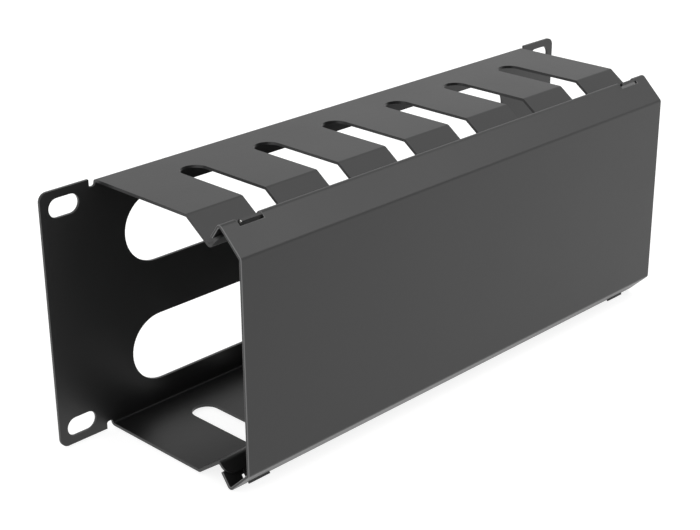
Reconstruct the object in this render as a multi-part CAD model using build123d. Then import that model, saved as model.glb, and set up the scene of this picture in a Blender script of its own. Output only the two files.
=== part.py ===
from build123d import *
from math import cos, radians, sin
import os

# Horizontal cable manager, two rack units high, folded from sheet steel.
# Origin: centre of the rear face that lies against the rack posts. X is the
# width, Z is up, and the cable duct stands forward of the posts, towards -Y.
# All lengths are in millimetres and all angles in degrees.

# Sheet
sheet = 1.0
bend_inside = 0.6

# Ears and their slots, to the ten-inch rack pattern
panel_width = 254.0
panel_height = 88.1
ear_width = 21.0
ear_corner_radius = 3.0
post_slot_from_side = 8.75
post_slot_from_top = 5.95
post_slot_length = 11.5
post_slot_width = 6.5
relief_width = 2.4
relief_depth = 2.6
relief_corner_radius = 0.8

# Channel
channel_inset = 0.35
front_bend_depth = 45.2
groove_run = 9.8
groove_drop = 7.0

# Long windows in the back plate
window_margin = 10.2
window_height = 24.0
window_spacing = 43.4

# Finger slots in the top and bottom plates
finger_count = 7
finger_slot_width = 9.6
finger_slot_floor = 12.5

# Lips in front of the groove, and the tabs on the outermost fingers
lip_angle = 53.5
lip_length = 4.5
lip_corner_radius = 4.0
tab_width = 8.5
tab_proud = 0.5

# Cover
cover_reach = 13.7
cover_face_drop = 7.7
cover_slope = 44.0

# Clearances where the cover hooks on the channel
hook_gap = 0.3
hook_end_gap = 2.6
tab_side_gap = 0.55
tab_front_gap = 0.9

# Worked out from the sizes above
bend_outside = bend_inside + sheet
channel_width = panel_width - 2 * ear_width
channel_height = panel_height - 2 * channel_inset
half_width = channel_width / 2
half_height = channel_height / 2
groove_depth = front_bend_depth + groove_run
groove_height = half_height - groove_drop
window_length = channel_width - 2 * window_margin
finger_slot_count = finger_count - 1
finger_width = (channel_width - finger_slot_count * finger_slot_width) / finger_count
finger_pitch = finger_width + finger_slot_width
tab_spacing = finger_pitch * (finger_count - 1)
fold_slot_width = tab_width + 2 * tab_side_gap
cover_depth = groove_depth + cover_reach
cover_face_half = half_height - cover_face_drop


def along(start, angle, distance):
    """The point at a distance and angle from a start, as depth and height."""
    return (start[0] + distance * cos(radians(angle)), start[1] + distance * sin(radians(angle)))


def crossing(first, first_angle, second, second_angle):
    """Where a line through one point meets a line through another."""
    across = sin(radians(second_angle - first_angle))
    step_depth = second[0] - first[0]
    step_height = second[1] - first[1]
    reach = step_depth * sin(radians(second_angle)) - step_height * cos(radians(second_angle))
    return along(first, first_angle, reach / across)


def distance_between(first, second):
    """Straight distance between two points."""
    return ((first[0] - second[0]) ** 2 + (first[1] - second[1]) ** 2) ** 0.5


def mirrored(point):
    """The same point below the middle of the panel."""
    return (point[0], -point[1])


# Points of the outer faces in section: depth forward of the posts, and height
groove = (groove_depth, groove_height)
front_bend = (front_bend_depth, half_height)
face_corner = (cover_depth, cover_face_half)
rear_of_lip = lip_angle + 90
rear_of_flange = along(groove, rear_of_lip, hook_gap + sheet)
fold = crossing(face_corner, 180 - cover_slope, rear_of_flange, lip_angle)
flange_end = along(rear_of_flange, lip_angle, hook_end_gap)
tab_root_to_slope = distance_between(groove, crossing(face_corner, 180 - cover_slope, groove, lip_angle))
tab_length = tab_root_to_slope + tab_proud
tab_tip = along(groove, lip_angle, tab_length)
fold_slot_reach = sheet + hook_gap + sheet + tab_front_gap


def section_plane(length):
    """Plane of a section, with depth towards -Y, that a length is extruded from."""
    return Plane(origin=(length / 2, 0, 0), x_dir=(0, -1, 0), z_dir=(-1, 0, 0))


def folded_sheet(outer_points, radii):
    """A sheet as long as the channel whose outer face follows the points."""
    outer_face = FilletPolyline(*outer_points, radius=radii)
    outline = Wire(outer_face.edges()).offset_2d(sheet, side=Side.LEFT, closed=True)
    return extrude(section_plane(channel_width) * make_face(outline.edges()), amount=channel_width)


def both_halves(upper):
    """A shape with its mirror image below the middle of the panel."""
    return upper + mirror(upper, about=Plane.XY)


def ears():
    """The two flat ears with their slots and the reliefs beside the bends."""
    flat = RectangleRounded(panel_width, panel_height, ear_corner_radius)
    flat -= Rectangle(channel_width, panel_height)
    relief = RectangleRounded(relief_width, 2 * relief_depth, relief_corner_radius)
    for place in GridLocations(channel_width + relief_width, panel_height, 2, 2):
        flat -= place * relief
    slot_spacing = panel_width - 2 * post_slot_from_side
    slot_rise = panel_height - 2 * post_slot_from_top
    for place in GridLocations(slot_spacing, slot_rise, 2, 2):
        flat -= place * SlotOverall(post_slot_length, post_slot_width)
    return extrude(Plane.XZ * flat, amount=sheet)


def back_windows():
    """Tools for the two long windows in the back plate."""
    window = SlotOverall(window_length, window_height)
    pair = Pos(0, window_spacing / 2) * window + Pos(0, -window_spacing / 2) * window
    return extrude(Plane.XZ * pair, amount=2 * sheet, both=True)


def finger_slots():
    """Upright tools for the slots between the fingers, open at the front."""
    radius = finger_slot_width / 2
    round_end_depth = finger_slot_floor + radius
    length = cover_depth - round_end_depth
    shape = Pos(0, -round_end_depth) * Circle(radius)
    shape += Pos(0, -round_end_depth - length / 2) * Rectangle(finger_slot_width, length)
    spread = GridLocations(finger_pitch, 0, finger_slot_count, 1)
    return [place * extrude(shape, amount=channel_height, both=True) for place in spread]


def lip_waste():
    """What is cut from the upper lips to leave their round corners and two tabs."""
    trim_start = lip_length - lip_corner_radius
    trim_length = tab_length + sheet - trim_start
    waste = Pos(0, trim_start + trim_length / 2) * Rectangle(channel_width + sheet, trim_length)
    for place in GridLocations(finger_pitch, 0, finger_count, 1):
        waste -= place * RectangleRounded(finger_width, 2 * lip_length, lip_corner_radius)
    for place in GridLocations(tab_spacing, 0, 2, 1):
        waste -= place * Rectangle(tab_width, 2 * tab_length)
    across = Vector(0, -cos(radians(lip_angle)), sin(radians(lip_angle)))
    origin = (0, -groove[0], groove[1])
    lip_plane = Plane(origin=origin, x_dir=(1, 0, 0), z_dir=Vector(1, 0, 0).cross(across))
    return extrude(lip_plane * waste, amount=2 * sheet, both=True)


def rack_channel():
    """Back plate with ears, top and bottom plates, fingers, lips and tabs: one sheet."""
    upper = [tab_tip, groove, front_bend, (0, half_height)]
    lower = [mirrored(point) for point in reversed(upper)]
    radii = [bend_inside, bend_outside, bend_outside]
    body = folded_sheet(upper + lower, radii + radii[::-1])
    body -= both_halves(lip_waste())
    body -= finger_slots()
    body += ears()
    body -= back_windows()
    return body


def fold_slots():
    """Tools for the slots that let the two upper tabs through the cover's fold."""
    on_slope = along(fold, -cover_slope, fold_slot_reach)
    on_flange = along(fold, 180 + lip_angle, fold_slot_reach)
    inside = crossing(on_slope, -90 - cover_slope, on_flange, lip_angle - 90)
    slope_clear = along(on_slope, 90 - cover_slope, sheet)
    flange_clear = along(on_flange, rear_of_lip, sheet)
    outside = crossing(slope_clear, 180 - cover_slope, flange_clear, lip_angle)
    outline = Polyline(inside, slope_clear, outside, flange_clear, close=True)
    shape = section_plane(fold_slot_width) * make_face(outline)
    slot = extrude(shape, amount=fold_slot_width)
    return [place * slot for place in GridLocations(tab_spacing, 0, 2, 1)]


def front_cover():
    """Front face, two slopes, two folds with slots and two return flanges: one sheet."""
    upper = [flange_end, fold, face_corner]
    lower = [mirrored(point) for point in reversed(upper)]
    radii = [bend_outside, bend_outside]
    body = folded_sheet(list(reversed(upper + lower)), radii + radii)
    for slot in fold_slots():
        body -= both_halves(slot)
    return body


os.makedirs("parts", exist_ok=True)
for name, shape in (("rack_channel", rack_channel()), ("front_cover", front_cover())):
    export_step(shape, f"parts/{name}.step")
    print(name, len(shape.solids()), round(shape.volume, 1), shape.bounding_box())
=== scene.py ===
from math import cos, radians, sin

import bmesh
import bpy
from bpy.props import FloatProperty, FloatVectorProperty, IntProperty, PointerProperty
from bpy.types import Operator, Panel, PropertyGroup
from mathutils import Matrix, Vector


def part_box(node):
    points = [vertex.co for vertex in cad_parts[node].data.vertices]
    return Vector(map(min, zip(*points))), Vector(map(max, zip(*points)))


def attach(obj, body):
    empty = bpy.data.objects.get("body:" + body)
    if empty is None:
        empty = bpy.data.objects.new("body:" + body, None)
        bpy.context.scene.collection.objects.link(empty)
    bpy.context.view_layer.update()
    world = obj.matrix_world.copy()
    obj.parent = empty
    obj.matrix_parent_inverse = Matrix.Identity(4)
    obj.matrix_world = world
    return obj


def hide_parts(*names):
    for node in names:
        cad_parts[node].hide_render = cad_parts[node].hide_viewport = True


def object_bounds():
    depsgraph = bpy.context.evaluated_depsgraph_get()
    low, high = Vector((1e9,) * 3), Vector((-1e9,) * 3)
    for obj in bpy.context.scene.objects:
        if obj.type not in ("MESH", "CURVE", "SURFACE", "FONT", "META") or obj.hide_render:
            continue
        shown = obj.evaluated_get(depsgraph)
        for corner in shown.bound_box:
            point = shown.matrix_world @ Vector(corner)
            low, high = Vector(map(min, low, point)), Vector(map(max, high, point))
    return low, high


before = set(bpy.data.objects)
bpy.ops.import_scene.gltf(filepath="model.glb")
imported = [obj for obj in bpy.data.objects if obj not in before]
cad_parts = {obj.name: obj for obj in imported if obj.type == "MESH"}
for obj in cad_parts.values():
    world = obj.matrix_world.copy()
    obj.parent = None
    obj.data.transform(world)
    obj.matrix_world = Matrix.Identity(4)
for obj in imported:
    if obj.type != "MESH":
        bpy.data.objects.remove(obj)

bl_info = {
    "name": "Rack cable manager",
    "version": (1, 0, 0),
    "blender": (4, 5, 0),
    "location": "View3D > Sidebar > Cable manager",
    "description": "Dresses the folded duct and its cover in black powder coat and sets the studio",
    "category": "Object",
}

MM = 0.001
CAD_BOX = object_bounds()
WHITE = (1.0, 1.0, 1.0, 1.0)

# Points closer than this are merged, and faces that turn by less than this are joined
SAME_POINT = 0.001 * MM
FLAT_ANGLE = radians(0.4)

# The coat's material, and the face attribute that marks the rounded edges, whose lighter colour is
# partly a thinner coat and partly a painted highlight
COAT_NAME = "matte_powder_coat"
EDGE_NAME = "thin_coat_and_painted_highlight"

# Detail of the coat's three noises, and the value that they vary around
GRAIN_DETAIL = 2.0
RIPPLE_DETAIL = 1.0
DRIFT_DETAIL = 3.0
NOISE_MIDDLE = 0.5

# The rubbed corner's place behind the channel's front and below its top
RUBBED_BACK = 0.1 * MM
RUBBED_DROP = 0.8 * MM

# Share of the rubbed radius within which the steel is quite bare
RUBBED_CORE = 0.6

# Sockets of the Mix node when it mixes colours
MIX_SHARE = 0
MIX_FIRST = 6
MIX_SECOND = 7
MIX_RESULT = 2

FLOOR_ROUGHNESS = 0.9
FLOOR_GLOSS = 0.1

# Each soft light's turn from the front to the right, and its rise above level
FRONT_LIGHT = (radians(45), radians(50))
LEFT_LIGHT = (radians(270), radians(20))

# Width of the photograph in pixels, and of the camera's sensor in millimetres
PHOTO_WIDTH = 700
SENSOR_WIDTH = 36.0

# Nearest and farthest that the camera sees, in metres
NEAREST_SEEN = 0.01
FARTHEST_SEEN = 100.0


class SheetSizes(PropertyGroup):
    """Sizes of the rounded edges left by punching and coating the sheet."""

    edge_radius: FloatProperty(
        name="Edge radius", description="How far the coat rounds each cut edge",
        default=0.22 * MM, unit="LENGTH", subtype="DISTANCE")
    edge_segments: IntProperty(
        name="Edge segments", description="Steps across each rounded edge", default=2)
    cut_edge_angle: FloatProperty(
        name="Cut edge angle", description="Edges that turn by more than this are rounded",
        default=radians(50), unit="ROTATION", subtype="ANGLE")
    bend_angle: FloatProperty(
        name="Bend angle", description="Faces that turn by less than this shade as one bend",
        default=radians(35), unit="ROTATION", subtype="ANGLE")


class CoatFinish(PropertyGroup):
    """Colours and texture of the black powder coat and of the bare steel."""

    coat_colour: FloatVectorProperty(
        name="Coat colour", description="Colour of the powder coat", size=3,
        default=(0.0080, 0.0080, 0.0081), min=0, max=1, subtype="COLOR")
    # The edge colour is partly the thinner coat on the cut edges and partly a painted highlight
    # along them
    edge_coat_and_highlight_colour: FloatVectorProperty(
        name="Edge colour", description="Colour of the thinner coat on the cut edges", size=3,
        default=(0.110, 0.110, 0.111), min=0, max=1, subtype="COLOR")
    steel_colour: FloatVectorProperty(
        name="Steel colour", description="Colour of the bare steel where a tab's corner is rubbed",
        size=3, default=(0.62, 0.61, 0.59), min=0, max=1, subtype="COLOR")
    coat_roughness: FloatProperty(
        name="Coat roughness", description="Roughness of the powder coat", default=0.40,
        min=0, max=1, subtype="FACTOR")
    coat_gloss: FloatProperty(
        name="Coat gloss", description="How strongly the coat's surface reflects", default=0.5,
        min=0, max=1, subtype="FACTOR")
    steel_roughness: FloatProperty(
        name="Steel roughness", description="Roughness of the rubbed steel", default=0.32,
        min=0, max=1, subtype="FACTOR")
    tone_change: FloatProperty(
        name="Tone change", description="How much the coat's tone drifts over the sheet",
        default=0.08, min=0, max=1, subtype="FACTOR")
    roughness_change: FloatProperty(
        name="Roughness change", description="How much the coat's roughness drifts",
        default=0.07, min=0, max=1, subtype="FACTOR")
    grain_size: FloatProperty(
        name="Grain size", description="Width of one grain of the coat's fine texture",
        default=0.45 * MM, unit="LENGTH", subtype="DISTANCE")
    grain_depth: FloatProperty(
        name="Grain depth", description="Height of the coat's fine texture",
        default=0.012 * MM, unit="LENGTH", subtype="DISTANCE")
    ripple_size: FloatProperty(
        name="Ripple size", description="Width of one ripple of the coat's orange peel",
        default=2.2 * MM, unit="LENGTH", subtype="DISTANCE")
    ripple_depth: FloatProperty(
        name="Ripple depth", description="Height of the coat's orange peel",
        default=0.012 * MM, unit="LENGTH", subtype="DISTANCE")
    drift_size: FloatProperty(
        name="Drift size", description="Width of one patch of slightly different tone",
        default=35 * MM, unit="LENGTH", subtype="DISTANCE")
    rubbed_x: FloatProperty(
        name="Rubbed place", description="X of the rubbed corner of the upper left tab",
        default=-99.3 * MM, unit="LENGTH", subtype="DISTANCE")
    rubbed_radius: FloatProperty(
        name="Rubbed radius", description="Radius of the rubbed place on the tab",
        default=0.7 * MM, unit="LENGTH", subtype="DISTANCE")


class StudioSetting(PropertyGroup):
    """The camera, the floor and the lights."""

    azimuth: FloatProperty(
        name="Azimuth", description="How far the view turns from the front to the right",
        default=radians(45.52), unit="ROTATION", subtype="ANGLE")
    elevation: FloatProperty(
        name="Elevation", description="How far the camera looks down",
        default=radians(23.09), unit="ROTATION", subtype="ANGLE")
    roll: FloatProperty(
        name="Roll", description="Turn of the camera about its own line of sight",
        default=radians(-0.40), unit="ROTATION", subtype="ANGLE")
    aim: FloatVectorProperty(
        name="Aim", description="Point that the camera looks at", size=3,
        default=(-23.16 * MM, -31.0 * MM, -2.35 * MM), unit="LENGTH", subtype="XYZ")
    distance: FloatProperty(
        name="Distance", description="From the camera to the point that it looks at",
        default=535.24 * MM, unit="LENGTH", subtype="DISTANCE")
    focal_pixels: FloatProperty(
        name="Focal length", description="Focal length in pixels of the photograph",
        default=1545.44, subtype="PIXEL")
    floor_size: FloatProperty(
        name="Floor size", description="Side of the square floor",
        default=40.0, unit="LENGTH", subtype="DISTANCE")
    floor_colour: FloatVectorProperty(
        name="Floor colour", description="Colour of the floor", size=3,
        default=(0.35, 0.35, 0.35), min=0, max=1, subtype="COLOR")
    floor_glow: FloatProperty(
        name="Floor glow", description="Even light from the floor, as from a light table",
        default=0.82)
    light_size: FloatProperty(
        name="Light size", description="Side of each square soft light",
        default=0.8, unit="LENGTH", subtype="DISTANCE")
    light_distance: FloatProperty(
        name="Light distance", description="From the object's middle to each soft light",
        default=1.3, unit="LENGTH", subtype="DISTANCE")
    front_power: FloatProperty(
        name="Front light", description="Power of the soft light above the front right",
        default=3.9, unit="POWER")
    left_power: FloatProperty(
        name="Left light", description="Power of the low soft light beyond the left end",
        default=3.0, unit="POWER")
    room_strength: FloatProperty(
        name="Room strength", description="Strength of the even light from all round", default=0.91)


class Shade:
    """A shader socket that Python's own operators work on."""

    def __init__(self, finish, socket):
        self.finish = finish
        self.socket = socket

    def maths(self, operation, first, second):
        """A Math node on two sockets or numbers."""
        return self.finish.add("ShaderNodeMath", {"operation": operation}, {0: first, 1: second})

    def __add__(self, other):
        return self.maths("ADD", self, other)

    __radd__ = __add__

    def __mul__(self, other):
        return self.maths("MULTIPLY", self, other)

    __rmul__ = __mul__

    def __sub__(self, other):
        return self.maths("SUBTRACT", self, other)

    def __rsub__(self, other):
        return self.maths("SUBTRACT", other, self)


class Finish:
    """A material whose nodes are added one call at a time."""

    def __init__(self, name):
        self.material = bpy.data.materials.new(name)
        self.material.use_nodes = True
        self.tree = self.material.node_tree
        self.tree.nodes.clear()

    def add(self, kind, settings, sockets, result=0):
        """Adds a node, with its settings first and then its sockets' values or links."""
        node = self.tree.nodes.new(kind)
        for name, value in settings.items():
            setattr(node, name, value)
        for name, value in sockets.items():
            if isinstance(value, Shade):
                self.tree.links.new(value.socket, node.inputs[name])
            else:
                node.inputs[name].default_value = value
        return Shade(self, node.outputs[result]) if node.outputs else None

    def noise(self, place, size, detail):
        """Smooth noise from 0 to 1 whose patches are about that size."""
        sockets = {"Vector": place, "Scale": 1 / size, "Detail": detail}
        return self.add("ShaderNodeTexNoise", {}, sockets, "Fac")

    def blend(self, share, first, second):
        """One colour turning into another."""
        sockets = {MIX_SHARE: share, MIX_FIRST: first, MIX_SECOND: second}
        return self.add("ShaderNodeMix", {"data_type": "RGBA"}, sockets, MIX_RESULT)

    def surface(self, sockets):
        """The shader that ends the material."""
        shader = self.add("ShaderNodeBsdfPrincipled", {}, sockets)
        self.add("ShaderNodeOutputMaterial", {}, {"Surface": shader})


def with_alpha(colour):
    """A colour as a shader socket takes it."""
    return (*colour, 1.0)


def powder_coat(scene):
    """Fine matte black powder coat, thinner on cut edges and lighter there with a painted
    highlight, and rubbed through at one tab.
    """
    coat = scene.coat_finish
    finish = Finish(COAT_NAME)
    place = finish.add("ShaderNodeTexCoord", {}, {}, "Object")
    grain = finish.noise(place, coat.grain_size, GRAIN_DETAIL)
    ripple = finish.noise(place, coat.ripple_size, RIPPLE_DETAIL)
    drift = finish.noise(place, coat.drift_size, DRIFT_DETAIL)
    edge = finish.add("ShaderNodeAttribute", {"attribute_name": EDGE_NAME}, {}, "Fac")

    box_low, box_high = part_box("rack_channel")
    rubbed_at = (coat.rubbed_x, box_low.y + RUBBED_BACK, box_high.z - RUBBED_DROP)
    reach = finish.add(
        "ShaderNodeVectorMath", {"operation": "DISTANCE"}, {0: place, 1: rubbed_at}, "Value")
    rubbed = finish.add(
        "ShaderNodeMapRange", {"interpolation_type": "SMOOTHSTEP"},
        {"Value": reach, "From Min": coat.rubbed_radius,
         "From Max": RUBBED_CORE * coat.rubbed_radius})

    light = [channel * (1 + coat.tone_change) for channel in coat.coat_colour]
    dark = [channel * (1 - coat.tone_change) for channel in coat.coat_colour]
    tone = finish.blend(drift, with_alpha(dark), with_alpha(light))
    # Cut edges get a lighter colour: partly a thinner coat, partly a painted highlight
    tone = finish.blend(edge, tone, with_alpha(coat.edge_coat_and_highlight_colour))
    tone = finish.blend(rubbed, tone, with_alpha(coat.steel_colour))

    roughness = (drift - NOISE_MIDDLE) * coat.roughness_change
    roughness = roughness + (grain - NOISE_MIDDLE) * coat.roughness_change
    roughness = roughness + coat.coat_roughness
    roughness = roughness + rubbed * (coat.steel_roughness - coat.coat_roughness)
    height = grain * coat.grain_depth + ripple * coat.ripple_depth
    bump = finish.add("ShaderNodeBump", {}, {"Height": height, "Distance": 1.0, "Strength": 1.0})
    finish.surface({
        "Base Color": tone, "Roughness": roughness, "Metallic": rubbed, "Normal": bump,
        "Specular IOR Level": coat.coat_gloss})
    return finish.material


def placed(name, data):
    """A new object in the scene that holds a mesh, a light or a camera."""
    thing = bpy.data.objects.new(name, data)
    bpy.context.scene.collection.objects.link(thing)
    return thing


def as_mesh(shape, name):
    """The mesh of a finished shape, which is then let go."""
    mesh = bpy.data.meshes.new(name)
    shape.to_mesh(mesh)
    shape.free()
    return mesh


def coated_sheet(node, name, scene):
    """The folded sheet of a CAD node with its cut edges rounded, as its coat leaves them."""
    sizes = scene.sheet_sizes
    shape = bmesh.new()
    shape.from_mesh(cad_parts[node].data)
    lighter_edge_layer = shape.faces.layers.float.new(EDGE_NAME)
    bmesh.ops.remove_doubles(shape, verts=shape.verts, dist=SAME_POINT)
    bmesh.ops.dissolve_limit(
        shape, angle_limit=FLAT_ANGLE, verts=shape.verts, edges=shape.edges, delimit=set())
    cut_edges = [edge for edge in shape.edges if edge.calc_face_angle(0) > sizes.cut_edge_angle]
    rounded = bmesh.ops.bevel(
        shape, geom=cut_edges, offset=sizes.edge_radius, offset_type="OFFSET",
        segments=sizes.edge_segments, profile=0.5, affect="EDGES", clamp_overlap=True, material=-1)
    # Marks the rounded edges for their lighter colour, partly thinner coat and partly painted
    # highlight
    for face in rounded["faces"]:
        face[lighter_edge_layer] = 1.0
    for face in shape.faces:
        face.smooth = True
    mesh = as_mesh(shape, name)
    mesh.set_sharp_from_angle(angle=sizes.bend_angle)
    piece = placed(name, mesh)
    even = piece.modifiers.new("even_shading", "WEIGHTED_NORMAL")
    even.keep_sharp = True
    return piece


def dress(operator_name, node, name, body, scene):
    """Adds a coated sheet in place of a CAD node and lets it ride on its body."""
    piece = coated_sheet(node, name, scene)
    if not piece.data.polygons:
        raise RuntimeError(f"{operator_name} made no faces")
    coat = bpy.data.materials.get(COAT_NAME) or powder_coat(scene)
    piece.data.materials.append(coat)
    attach(piece, body)
    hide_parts(node)


class CABLE_OT_rack_channel(Operator):
    """Add the folded duct with its ears, fingers, lips and tabs."""

    bl_idname = "cable_manager.rack_channel"
    bl_label = "Rack channel"

    def execute(self, context):
        dress(self.bl_label, "rack_channel", "coated_rack_channel", "channel", context.scene)
        return {"FINISHED"}


class CABLE_OT_front_cover(Operator):
    """Add the folded cover that hooks over the lips."""

    bl_idname = "cable_manager.front_cover"
    bl_label = "Front cover"

    def execute(self, context):
        dress(self.bl_label, "front_cover", "coated_front_cover", "cover", context.scene)
        return {"FINISHED"}


def pale_floor(studio):
    """A wide pale floor that glows evenly, at the lowest point of the object."""
    shape = bmesh.new()
    bmesh.ops.create_grid(shape, x_segments=1, y_segments=1, size=studio.floor_size / 2)
    bmesh.ops.translate(shape, verts=shape.verts, vec=(0, 0, CAD_BOX[0].z))
    floor = placed("floor", as_mesh(shape, "floor"))
    finish = Finish("pale_floor")
    finish.surface({
        "Base Color": with_alpha(studio.floor_colour), "Roughness": FLOOR_ROUGHNESS,
        "Specular IOR Level": FLOOR_GLOSS,
        "Emission Color": WHITE, "Emission Strength": studio.floor_glow})
    floor.data.materials.append(finish.material)


def soft_light(name, studio, place, power):
    """A square soft light that faces the object from its place around and above it."""
    lamp = bpy.data.lights.new(name, "AREA")
    lamp.shape = "SQUARE"
    lamp.size = studio.light_size
    lamp.energy = power
    light = placed(name, lamp)
    around, above = place
    outward = Vector((sin(around) * cos(above), -cos(around) * cos(above), sin(above)))
    light.location = (CAD_BOX[0] + CAD_BOX[1]) / 2 + outward * studio.light_distance
    light.rotation_euler = outward.to_track_quat("Z", "Y").to_euler()


def room_light(strength):
    """Even white light from all round."""
    world = bpy.data.worlds.new("room")
    world.use_nodes = True
    background = world.node_tree.nodes["Background"]
    background.inputs["Color"].default_value = WHITE
    background.inputs["Strength"].default_value = strength
    bpy.context.scene.world = world


def photo_camera(studio):
    """The camera at the photograph's viewing angle and framing."""
    lens = bpy.data.cameras.new("camera")
    lens.sensor_fit = "HORIZONTAL"
    lens.sensor_width = SENSOR_WIDTH
    lens.lens = studio.focal_pixels * SENSOR_WIDTH / PHOTO_WIDTH
    lens.clip_start = NEAREST_SEEN
    lens.clip_end = FARTHEST_SEEN
    ahead = Vector((
        sin(studio.azimuth) * cos(studio.elevation),
        cos(studio.azimuth) * cos(studio.elevation),
        -sin(studio.elevation)))
    level = Vector((cos(studio.azimuth), -sin(studio.azimuth), 0))
    above = level.cross(ahead)
    right = level * cos(studio.roll) + above * sin(studio.roll)
    up = above * cos(studio.roll) - level * sin(studio.roll)
    place = Vector(studio.aim) - ahead * studio.distance
    turn = Matrix((right, up, -ahead)).transposed().to_4x4()
    camera = placed("camera", lens)
    camera.matrix_world = Matrix.Translation(place) @ turn
    bpy.context.scene.camera = camera


class CABLE_OT_studio(Operator):
    """Add the pale floor, the soft lights and the camera."""

    bl_idname = "cable_manager.studio"
    bl_label = "Studio"

    def execute(self, context):
        studio = context.scene.studio_setting
        pale_floor(studio)
        room_light(studio.room_strength)
        soft_light("front_light", studio, FRONT_LIGHT, studio.front_power)
        soft_light("left_light", studio, LEFT_LIGHT, studio.left_power)
        photo_camera(studio)
        context.scene.view_settings.view_transform = "Standard"
        return {"FINISHED"}


class CABLE_PT_sidebar(Panel):
    """Lists the pieces and the settings."""

    bl_idname = "CABLE_PT_sidebar"
    bl_label = "Cable manager"
    bl_space_type = "VIEW_3D"
    bl_region_type = "UI"
    bl_category = "Cable manager"

    def draw(self, context):
        for operator in OPERATORS:
            self.layout.operator(operator.bl_idname)
        for name in SETTINGS:
            group = getattr(context.scene, name)
            column = self.layout.column(align=True)
            for prop in group.bl_rna.properties:
                if prop.identifier not in ("rna_type", "name"):
                    column.prop(group, prop.identifier)


OPERATORS = (CABLE_OT_rack_channel, CABLE_OT_front_cover, CABLE_OT_studio)
SETTINGS = {"sheet_sizes": SheetSizes, "coat_finish": CoatFinish, "studio_setting": StudioSetting}


def register():
    for group in SETTINGS.values():
        bpy.utils.register_class(group)
    for name, group in SETTINGS.items():
        setattr(bpy.types.Scene, name, PointerProperty(type=group))
    for operator in OPERATORS:
        bpy.utils.register_class(operator)
    bpy.utils.register_class(CABLE_PT_sidebar)


def unregister():
    bpy.utils.unregister_class(CABLE_PT_sidebar)
    for operator in reversed(OPERATORS):
        bpy.utils.unregister_class(operator)
    for name, group in reversed(SETTINGS.items()):
        delattr(bpy.types.Scene, name)
        bpy.utils.unregister_class(group)


def main():
    register()
    bpy.ops.cable_manager.rack_channel()
    bpy.ops.cable_manager.front_cover()
    bpy.ops.cable_manager.studio()


if __name__ == "__main__":
    main()
